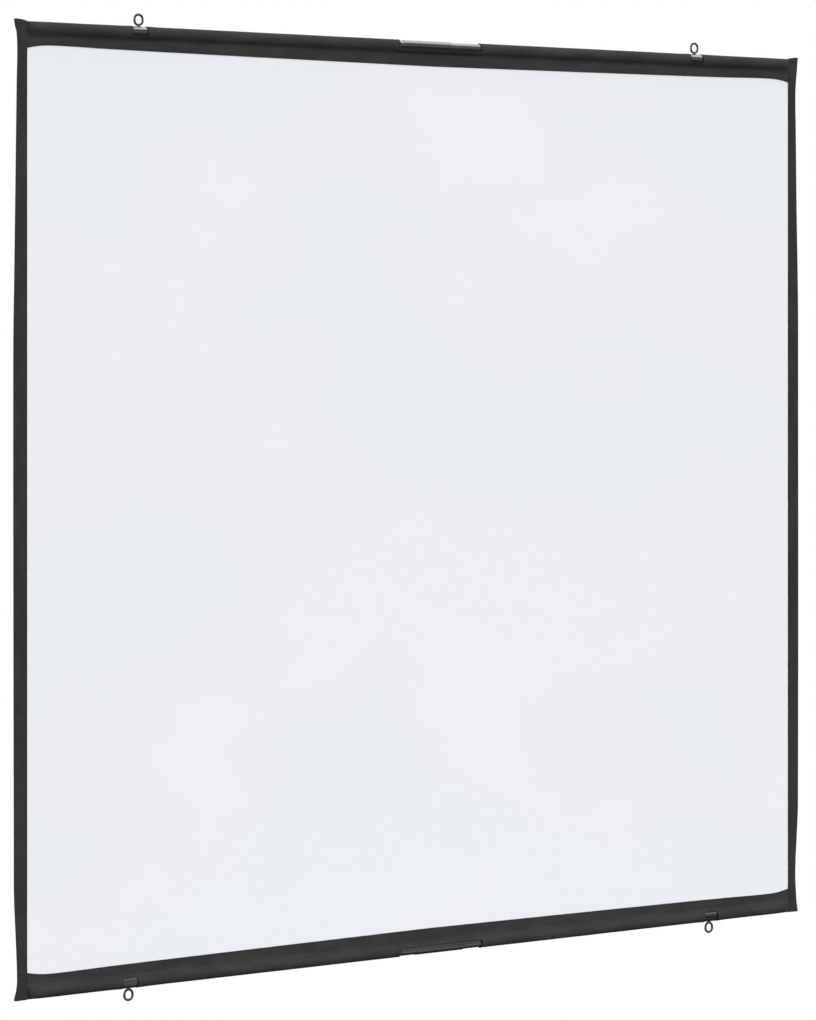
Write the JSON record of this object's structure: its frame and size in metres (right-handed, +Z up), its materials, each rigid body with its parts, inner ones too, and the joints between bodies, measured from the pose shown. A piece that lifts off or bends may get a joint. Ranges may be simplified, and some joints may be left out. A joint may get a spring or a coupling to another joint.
{
  "type": "projection screen",
  "caption": "Hanging projection screen: a white sheet with black sewn edges, stretched between tubes in fabric sleeves and hung on wall hooks by wire eyes.",
  "frame": {"origin": "on the line through the hook seats of the two top eyes, in the middle of the sheet's width and thickness", "axes": "+X to the right seen from the front, +Y from the front to the wall, +Z up"},
  "size_m": [1.333, 0.0188, 1.3985],
  "materials": {
    "white_sheet": "matt white coated fabric",
    "black_fabric": "matt black woven fabric",
    "black_tape": "matt black woven tape",
    "rod_metal": "smooth bright drawn steel",
    "bright_zinc": "bright zinc plating",
    "eye_steel": "dark nickel plating",
    "insert_brass": "turned brass, nickel-plated",
    "plug_plastic": "moulded black"
  },
  "bodies": {
    "top_rod": {"top_rod_left": "rod_metal", "top_rod_right": "rod_metal", "top_left_plug": "plug_plastic", "top_left_saddle": "bright_zinc", "top_left_insert": "insert_brass", "top_right_plug": "plug_plastic", "top_right_saddle": "bright_zinc", "top_right_insert": "insert_brass"},
    "bottom_rod": {"bottom_rod_left": "rod_metal", "bottom_rod_right": "rod_metal", "bottom_left_plug": "plug_plastic", "bottom_left_saddle": "bright_zinc", "bottom_left_insert": "insert_brass", "bottom_right_plug": "plug_plastic", "bottom_right_saddle": "bright_zinc", "bottom_right_insert": "insert_brass"},
    "screen": {"screen_panel": "white_sheet", "top_sleeve": "black_fabric", "bottom_sleeve": "black_fabric", "left_binding": "black_tape", "right_binding": "black_tape"},
    "top_coupler": {"top_coupler": "rod_metal"},
    "bottom_coupler": {"bottom_coupler": "rod_metal"},
    "top_left_eye": {"top_left_eye": "eye_steel"},
    "top_right_eye": {"top_right_eye": "eye_steel"},
    "bottom_left_eye": {"bottom_left_eye": "eye_steel"},
    "bottom_right_eye": {"bottom_right_eye": "eye_steel"}
  },
  "joints": [
    {"name": "screen_swing", "type": "hinge", "parent": "top_rod", "child": "screen", "pos_m": [0, 0, -0.0243], "axis": [-1, 0, 0], "range_deg": [-45, 45]},
    {"name": "bottom_rod_turn", "type": "hinge", "parent": "screen", "child": "bottom_rod", "pos_m": [0, 0, -1.3672], "axis": [-1, 0, 0], "range_deg": [-45, 45]},
    {"name": "top_coupler_slide", "type": "slide", "parent": "top_rod", "child": "top_coupler", "axis": [1, 0, 0], "range_m": [-0.0064, 0.0485]},
    {"name": "bottom_coupler_slide", "type": "slide", "parent": "bottom_rod", "child": "bottom_coupler", "axis": [1, 0, 0], "range_m": [-0.0268, 0.0284]},
    {"name": "top_left_eye_turn", "type": "hinge", "parent": "top_rod", "child": "top_left_eye", "pos_m": [-0.478, 0, -0.0243], "axis": [0, 0, 1], "continuous": true},
    {"name": "top_right_eye_turn", "type": "hinge", "parent": "top_rod", "child": "top_right_eye", "pos_m": [0.467, 0, -0.0243], "axis": [0, 0, 1], "continuous": true},
    {"name": "bottom_left_eye_turn", "type": "hinge", "parent": "bottom_rod", "child": "bottom_left_eye", "pos_m": [-0.4935, 0, -1.3672], "axis": [0, 0, -1], "continuous": true},
    {"name": "bottom_right_eye_turn", "type": "hinge", "parent": "bottom_rod", "child": "bottom_right_eye", "pos_m": [0.4945, 0, -1.3672], "axis": [0, 0, -1], "continuous": true}
  ]
}
